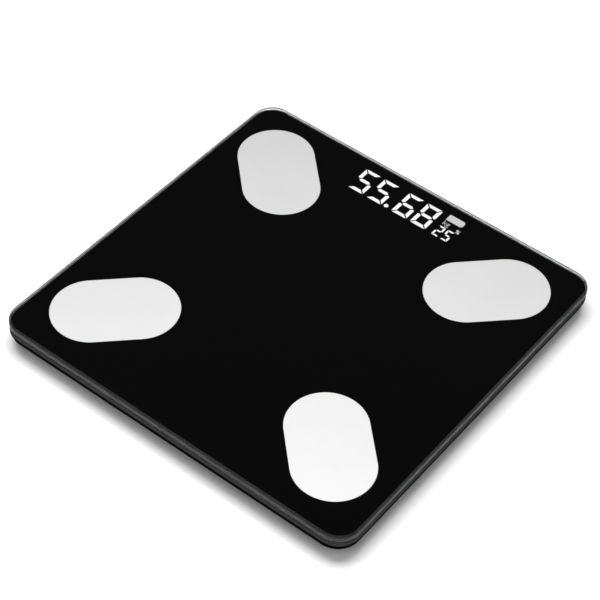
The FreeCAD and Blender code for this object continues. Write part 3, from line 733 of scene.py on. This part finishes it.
def silver_label():
    """A plain silver label with printed rule lines, and no words."""
    label = settings().label
    material, tree, shader = blank_material("Silver Label")
    axes = split_axes(tree, turned(tree, object_coords(tree), Location=(0, -label.place[1], 0)))
    rules = maths(tree, "PINGPONG", axes["Y"], RULE_PITCH)
    line = maths(tree, "LESS_THAN", rules, RULE_WIDTH)
    across = maths(tree, "ABSOLUTE", axes["X"])
    inside = maths(tree, "LESS_THAN", across, RULE_LENGTH * label.size[0])
    mask = maths(tree, "MULTIPLY", line, inside)
    two_tone(tree, shader, mask, (0.62, 0.63, 0.64), (0.08, 0.08, 0.08))
    handled(tree, shader, scale=80.0, roughness=0.4)
    shader.inputs["Metallic"].default_value = 0.6
    return material


# ---------------------------------------------------------------- digit shapes

LIT_BARS = {
    "0": "abcdef", "1": "bc", "2": "abged", "3": "abgcd", "4": "fgbc",
    "5": "afgcd", "6": "afgedc", "7": "abc", "8": "abcdefg", "9": "abcdfg",
}


def bar_outlines(width, height, stroke):
    """The seven mitred bars of a digit, from its lower left corner, keyed a to g."""
    gap = BAR_GAP * stroke
    half = stroke / 2
    mid = height / 2
    tip = BAR_TIP * stroke
    left, right = stroke + gap, width - stroke - gap
    bars = {
        "a": [(gap, height), (width - gap, height),
              (right, height - stroke), (left, height - stroke)],
        "d": [(gap, 0), (left, stroke), (right, stroke), (width - gap, 0)],
        "g": [(tip + gap, mid), (left, mid + half), (right, mid + half),
              (width - tip - gap, mid), (right, mid - half), (left, mid - half)],
        "f": [(0, height - gap), (stroke, height - stroke - gap), (stroke, mid + half + gap),
              (tip, mid + TIP_GAP * gap), (0, mid + half)],
    }
    bars["e"] = [(x, height - y) for x, y in reversed(bars["f"])]
    bars["b"] = [(width - x, y) for x, y in reversed(bars["f"])]
    bars["c"] = [(width - x, height - y) for x, y in bars["f"]]
    return bars


def add_outline(name, outline, low, high):
    """A flat plate whose corners are the outline's points."""
    deselect()
    bpy.ops.mesh.primitive_circle_add(vertices=len(outline), radius=MM, fill_type="NGON")
    plate = bpy.context.object
    plate.name = name
    for vertex, (x, y) in zip(plate.data.vertices, outline):
        vertex.co = (x, y, low)
    make_active(plate)
    bpy.ops.object.mode_set(mode="EDIT")
    bpy.ops.mesh.select_all(action="SELECT")
    bpy.ops.mesh.extrude_region_move(TRANSFORM_OT_translate={"value": (0, 0, high - low)})
    bpy.ops.mesh.select_all(action="SELECT")
    bpy.ops.mesh.normals_make_consistent(inside=False)
    bpy.ops.object.mode_set(mode="OBJECT")
    return plate


def lit_heights():
    """The lit marks show just inside the glass's underside."""
    return GLASS_LOW.z + LIT_BOTTOM, GLASS_LOW.z + LIT_TOP


def build_digit(figure, x, y, width, height, stroke):
    low, high = lit_heights()
    bars = bar_outlines(width, height, stroke)
    plates = []
    for key in LIT_BARS[figure]:
        outline = [(x + px, y + py) for px, py in bars[key]]
        plates.append(add_outline("bar", outline, low, high))
    return plates


# ---------------------------------------------------------------- operators

class SCALE_OT_glass(bpy.types.Operator):
    """Clear sheet with ground, arrised edges and four stud holes"""
    bl_idname = "bathroom_scale.glass"
    bl_label = "Glass Sheet"

    def execute(self, context):
        glass = settings().glass
        piece = rounded_block("glass_sheet", GLASS_LOW, GLASS_HIGH, glass.corner, CORNER_STEPS)
        for height in (GLASS_HIGH.z, GLASS_LOW.z):
            bevel_edges(piece, rim_at(height), glass.arris, steps=1)
        for sides in CORNERS.values():
            deselect()
            bpy.ops.mesh.primitive_cylinder_add(
                vertices=ROUND_STEPS, radius=glass.stud_hole, depth=HOLE_DRILL,
                location=(*self.stud_place(sides), GLASS_HIGH.z))
            cut_with(piece, bpy.context.object)
        hand_over(piece, "scale_body", "clear_glass", clear_glass(), ground_glass())
        for face in piece.data.polygons:
            face.material_index = 0 if abs(face.normal.z) > FLAT else 1
        smooth(piece)
        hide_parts("glass_platform")
        return {"FINISHED"}

    def stud_place(self, sides):
        """The axis of one corner's stud, from the corner of the studs' common box."""
        low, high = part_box("electrode_studs")
        x = high.x - STUD_RADIUS if sides[0] > 0 else low.x + STUD_RADIUS
        y = high.y - STUD_RADIUS if sides[1] > 0 else low.y + STUD_RADIUS
        return x, y


class SCALE_OT_print(bpy.types.Operator):
    """Black print, smoked window and tape under the glass"""
    bl_idname = "bathroom_scale.print"
    bl_label = "Print And Tape"

    def execute(self, context):
        print_black = black_print()
        dress("mask_film", print_black)
        dress("display_filter", print_black)
        dress("bond_tape", rubber("Foam Tape", (0.012, 0.012, 0.012)))
        return {"FINISHED"}


class SCALE_OT_electrodes(bpy.types.Operator):
    """Four satin steel plates, modelled once and turned into each corner"""
    bl_idname = "bathroom_scale.electrodes"
    bl_label = "Electrodes"

    def execute(self, context):
        chosen = settings().electrodes
        low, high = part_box("electrode_front_right")
        half_x = chosen.half_run + chosen.end_radius
        half_y = chosen.end_radius
        model = add_block("electrode_model", (-half_x, -half_y, low.z), (half_x, half_y, high.z))
        bevel_edges(model, is_upright, chosen.end_radius * NEARLY_ROUND, steps=ROUND_STEPS)
        make_active(model)
        bpy.ops.object.mode_set(mode="EDIT")
        bpy.ops.mesh.select_all(action="SELECT")
        bpy.ops.mesh.remove_doubles(threshold=WELD)
        bpy.ops.object.mode_set(mode="OBJECT")
        bevel_edges(model, rim_at(high.z), chosen.rim, steps=3)
        smooth(model, angle=12)
        for corner, (sx, sy) in CORNERS.items():
            low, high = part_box("electrode_" + corner)
            middle = (low + high) / 2
            turn = math.radians(45) * sx * sy
            plate = copy_of(model, "electrode_plate_" + corner)
            plate.location = (middle.x, middle.y, 0)
            plate.rotation_euler = Euler((0, 0, turn))
            apply_place(plate)
            steel = brushed_metal(
                "Electrode Steel " + corner, chosen.steel, chosen.roughness, -turn, contrast=0.10)
            hand_over(plate, "scale_body", "electrode_steel", steel)
            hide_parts("electrode_" + corner)
        bpy.data.objects.remove(model)
        return {"FINISHED"}


class SCALE_OT_reading(bpy.types.Operator):
    """The four large lit digits and their point"""
    bl_idname = "bathroom_scale.reading"
    bl_label = "Reading"

    def execute(self, context):
        shown = settings().display
        width, height = shown.digit_size
        y = FILTER_LOW.y + READING_RISE
        plates = []
        for figure, start in zip(shown.reading, DIGIT_STARTS):
            x = FILTER_LOW.x + start
            plates.extend(build_digit(figure, x, y, width, height, shown.stroke))
        plates.append(self.point(FILTER_LOW.x + POINT_X, y + POINT_RISE))
        piece = join(plates, "lit_reading")
        hand_over(piece, "scale_body", "led_resin", lit("Lit White", shown.glow))
        return {"FINISHED"}

    def point(self, x, y):
        low, high = lit_heights()
        deselect()
        bpy.ops.mesh.primitive_cylinder_add(
            vertices=ROUND_STEPS, radius=POINT_RADIUS, depth=high - low,
            location=(x, y, (low + high) / 2))
        dot = bpy.context.object
        apply_place(dot)
        return dot


class SCALE_OT_marks(bpy.types.Operator):
    """The paler bar, the unit mark, the small digits and their percent mark"""
    bl_idname = "bathroom_scale.marks"
    bl_label = "Small Marks"

    def execute(self, context):
        shown = settings().display
        x = FILTER_LOW.x + MARKS_X
        y = FILTER_LOW.y + MARKS_RISE
        bar = self.pale_bar(x, y + BAR_RISE)
        hand_over(bar, "scale_body", "led_resin", lit("Lit Grey", shown.dim_glow))
        unit = self.words("kg", x, y + UNIT_RISE, UNIT_SIZE, "lit_unit")
        hand_over(unit, "scale_body", "led_resin", lit("Lit Unit", shown.dim_glow * UNIT_DIMMING))
        width, height = shown.small_size
        plates = []
        for i, figure in enumerate(shown.small_reading):
            start = x + SMALL_PITCH * i
            plates.extend(build_digit(figure, start, y, width, height, shown.small_stroke))
        small = join(plates, "lit_small_reading")
        hand_over(small, "scale_body", "led_resin", lit("Lit Small White", shown.glow))
        percent_x, percent_rise = PERCENT_PLACE
        percent = self.words("%", x + percent_x, y + percent_rise, PERCENT_SIZE, "lit_percent")
        hand_over(percent, "scale_body", "led_resin", lit("Lit Percent", shown.glow))
        return {"FINISHED"}

    def pale_bar(self, x, y):
        """A bar cut square at its left and rounded at its right."""
        low, high = lit_heights()
        width, height = BAR_SIZE
        bar = add_block("lit_bar", (x, y, low), (x + width, y + height, high))
        middle = x + width / 2
        bevel_edges(bar, lambda m, d: is_upright(m, d) and m.x > middle, BAR_ROUND, steps=8)
        return bar

    def words(self, text, x, y, size, name):
        """Letters made into a thin mesh."""
        low, high = lit_heights()
        deselect()
        bpy.ops.object.text_add(location=(x, y, low))
        letters = bpy.context.object
        letters.data.body = text
        letters.data.size = size * LETTER_SIZE
        letters.data.extrude = (high - low) / 2
        make_active(letters)
        bpy.ops.object.convert(target="MESH")
        letters = bpy.context.object
        letters.name = name
        apply_place(letters)
        return letters


class SCALE_OT_tray(bpy.types.Operator):
    """Grained black tray, door, latch and button"""
    bl_idname = "bathroom_scale.tray"
    bl_label = "Tray And Door"

    def execute(self, context):
        shell = tray_plastic()
        dress("base_tray", shell)
        dress("battery_door", shell)
        dress("door_latch", shell)
        dress("button_cap", moulded_plastic("Button Plastic", (0.22, 0.22, 0.23), roughness=0.35))
        return {"FINISHED"}


class SCALE_OT_feet(bpy.types.Operator):
    """Moulded feet and rubber pads"""
    bl_idname = "bathroom_scale.feet"
    bl_label = "Feet"

    def execute(self, context):
        plastic = settings().plastic
        disc = moulded_plastic("Foot Plastic", plastic.foot, roughness=0.45, grain=plastic.grain)
        pad = rubber("Pad Rubber", plastic.pad)
        for corner in CORNERS:
            dress("foot_disc_" + corner, disc)
            dress("foot_pad_" + corner, pad)
        return {"FINISHED"}


class SCALE_OT_label(bpy.types.Operator):
    """Blank rating label in its recess on the underside"""
    bl_idname = "bathroom_scale.label"
    bl_label = "Label"

    def execute(self, context):
        label = settings().label
        half = Vector(label.size) / 2
        middle = Vector(label.place)
        top = TRAY_LOW.z + LABEL_RECESS
        low = (middle.x - half.x, middle.y - half.y, top - label.thick)
        high = (middle.x + half.x, middle.y + half.y, top)
        piece = rounded_block("rating_label", low, high, LABEL_CORNER, steps=6)
        hand_over(piece, "scale_body", "reflector_plastic", silver_label())
        return {"FINISHED"}


class SCALE_OT_load_cells(bpy.types.Operator):
    """Load cells and their resin, brackets, screws, studs, nuts and terminals"""
    bl_idname = "bathroom_scale.load_cells"
    bl_label = "Load Cells"

    def execute(self, context):
        plate = brushed_metal("Cell Steel", (0.55, 0.55, 0.54), roughness=0.3)
        bracket = moulded_plastic("Bracket Plastic", (0.62, 0.62, 0.6), roughness=0.45)
        for corner in CORNERS:
            dress("load_cell_" + corner, plate)
            dress("cell_bracket_" + corner, bracket)
        dress("strain_gauges", rubber("Gauge Resin", (0.7, 0.7, 0.66)))
        dress("screws", brushed_metal("Screw Steel", (0.5, 0.5, 0.5), roughness=0.28))
        dress("electrode_studs", brushed_metal("Stud Steel", (0.6, 0.6, 0.61), roughness=0.3))
        dress("stud_nuts", brushed_metal("Nut Steel", (0.55, 0.55, 0.56), roughness=0.3))
        dress("ring_terminals", brushed_metal("Terminal Tin", (0.7, 0.68, 0.62), roughness=0.32))
        return {"FINISHED"}


class SCALE_OT_electronics(bpy.types.Operator):
    """Board, display box, chips and switch"""
    bl_idname = "bathroom_scale.electronics"
    bl_label = "Electronics"

    def execute(self, context):
        resin = moulded_plastic(
            "Chip Resin", (0.012, 0.012, 0.013), roughness=0.4, grain=FINE_GRAIN)
        dress("main_board", circuit_board())
        dress("display_reflector", moulded_plastic(
            "Reflector Plastic", (0.04, 0.04, 0.042), roughness=0.5))
        dress("display_diffuser", moulded_plastic(
            "Diffuser Sheet", (0.6, 0.6, 0.6), roughness=0.6, grain=FINE_GRAIN))
        dress("display_leds", moulded_plastic(
            "Light Chip Resin", (0.75, 0.68, 0.3), roughness=0.3, grain=FINE_GRAIN))
        for node in ("main_chip", "converter_chip", "small_parts"):
            dress(node, resin)
        dress("wireless_module", brushed_metal("Screening Can", (0.65, 0.65, 0.64), roughness=0.35))
        switch = moulded_plastic("Switch Plastic", (0.02, 0.02, 0.02), roughness=0.45)
        dress("tact_switch", switch)
        dress("switch_plunger", switch)
        return {"FINISHED"}


class SCALE_OT_batteries(bpy.types.Operator):
    """Batteries, springs and contacts"""
    bl_idname = "bathroom_scale.batteries"
    bl_label = "Batteries"

    def execute(self, context):
        jacket = battery_jacket()
        for number in (1, 2, 3):
            dress("battery_" + str(number), jacket)
        nickel = brushed_metal("Contact Nickel", (0.72, 0.71, 0.68), roughness=0.25)
        dress("battery_springs", nickel)
        dress("contact_plates", nickel)
        return {"FINISHED"}


class SCALE_OT_wires(bpy.types.Operator):
    """Sleeved wires in three colours"""
    bl_idname = "bathroom_scale.wires"
    bl_label = "Wires"

    def execute(self, context):
        sleeve = rubber("Red Sleeve", (0.42, 0.03, 0.02))
        white = rubber("White Sleeve", (0.6, 0.6, 0.58))
        for corner in CORNERS:
            dress("sensor_lead_" + corner, sleeve)
            dress("electrode_lead_" + corner, white)
        dress("battery_leads", rubber("Black Sleeve", (0.02, 0.02, 0.02)))
        return {"FINISHED"}


class SCALE_OT_stage(bpy.types.Operator):
    """Pale floor, softboxes and camera"""
    bl_idname = "bathroom_scale.stage"
    bl_label = "Studio"

    def execute(self, context):
        chosen = settings().stage
        self.floor(chosen)
        away = Vector((-math.sin(chosen.azimuth), math.cos(chosen.azimuth), 0))
        upward = Vector((0, 0, 1))
        fill_place = FILL_HEIGHT * upward - FILL_DISTANCE * away
        self.softbox("Key", KEY_PLACE, away, KEY_SIZE, chosen.key)
        self.softbox("Fill", fill_place, away, FILL_SIZE, chosen.fill)
        self.softbox("Front Card", FRONT_CARD_PLACE, upward, CARD_SIZE, chosen.card)
        self.softbox("Side Card", SIDE_CARD_PLACE, upward, CARD_SIZE, chosen.card)
        self.surround(chosen)
        self.camera(chosen)
        context.scene.view_settings.view_transform = "Standard"
        return {"FINISHED"}

    def floor(self, chosen):
        deselect()
        bpy.ops.mesh.primitive_plane_add(size=FLOOR_SIZE, location=(0, 0, 0))
        plane = bpy.context.object
        plane.name = "floor"
        material, tree, shader = blank_material("Pale Floor")
        paint(tree, shader, chosen.floor, scale=3.0, amount=0.01)
        shader.inputs["Roughness"].default_value = 0.7
        plane.data.materials.append(material)

    def softbox(self, name, place, upright, size, power):
        """A rectangular light aimed at the origin, its height as near to upright as it goes."""
        light = bpy.data.lights.new(name, "AREA")
        light.shape = "RECTANGLE"
        light.size, light.size_y = size
        light.energy = power
        back = Vector(place).normalized()
        right = upright.cross(back).normalized()
        placed = Matrix((right, back.cross(right), back)).transposed().to_4x4()
        placed.translation = place
        lamp = bpy.data.objects.new(name, light)
        lamp.matrix_world = placed
        bpy.context.collection.objects.link(lamp)

    def surround(self, chosen):
        world = bpy.data.worlds.new("Studio Room")
        world.use_nodes = True
        background = world.node_tree.nodes["Background"]
        background.inputs["Color"].default_value = (1, 1, 1, 1)
        background.inputs["Strength"].default_value = chosen.surround
        bpy.context.scene.world = world

    def camera(self, chosen):
        back = Vector((
            math.sin(chosen.azimuth) * math.cos(chosen.elevation),
            -math.cos(chosen.azimuth) * math.cos(chosen.elevation),
            math.sin(chosen.elevation)))
        target = Vector((chosen.target[0], chosen.target[1], GLASS_HIGH.z))
        right = Vector((0, 0, 1)).cross(back).normalized()
        up = back.cross(right)
        turn = Matrix.Rotation(chosen.roll, 3, back)
        right = turn @ right
        up = turn @ up
        data = bpy.data.cameras.new("Camera")
        data.sensor_width = SENSOR_WIDTH
        data.lens = chosen.lens
        data.clip_end = VIEW_DEPTH
        camera = bpy.data.objects.new("Camera", data)
        placed = Matrix((right, up, back)).transposed().to_4x4()
        placed.translation = target + back * chosen.distance
        camera.matrix_world = placed
        bpy.context.collection.objects.link(camera)
        bpy.context.scene.camera = camera


class SCALE_PT_panel(bpy.types.Panel):
    """Lists the scale's pieces in the 3D view's sidebar"""
    bl_idname = "SCALE_PT_panel"
    bl_label = "Bathroom Scale"
    bl_space_type = "VIEW_3D"
    bl_region_type = "UI"
    bl_category = "Scale"

    def draw(self, context):
        for operator in PIECES:
            self.layout.operator(operator.bl_idname)


PIECES = (
    SCALE_OT_glass,
    SCALE_OT_print,
    SCALE_OT_electrodes,
    SCALE_OT_reading,
    SCALE_OT_marks,
    SCALE_OT_tray,
    SCALE_OT_feet,
    SCALE_OT_label,
    SCALE_OT_load_cells,
    SCALE_OT_electronics,
    SCALE_OT_batteries,
    SCALE_OT_wires,
    SCALE_OT_stage,
)
GROUPS = (
    GlassSettings,
    ElectrodeSettings,
    DisplaySettings,
    PlasticSettings,
    LabelSettings,
    StageSettings,
    ScaleSettings,
)


def register():
    for made in GROUPS + PIECES + (SCALE_PT_panel,):
        bpy.utils.register_class(made)
    bpy.types.Scene.bathroom_scale = bpy.props.PointerProperty(type=ScaleSettings)


def unregister():
    del bpy.types.Scene.bathroom_scale
    for made in reversed(GROUPS + PIECES + (SCALE_PT_panel,)):
        bpy.utils.unregister_class(made)


def main():
    register()
    for operator in PIECES:
        name = operator.bl_idname.split(".")[1]
        getattr(bpy.ops.bathroom_scale, name)()


if __name__ == "__main__":
    main()
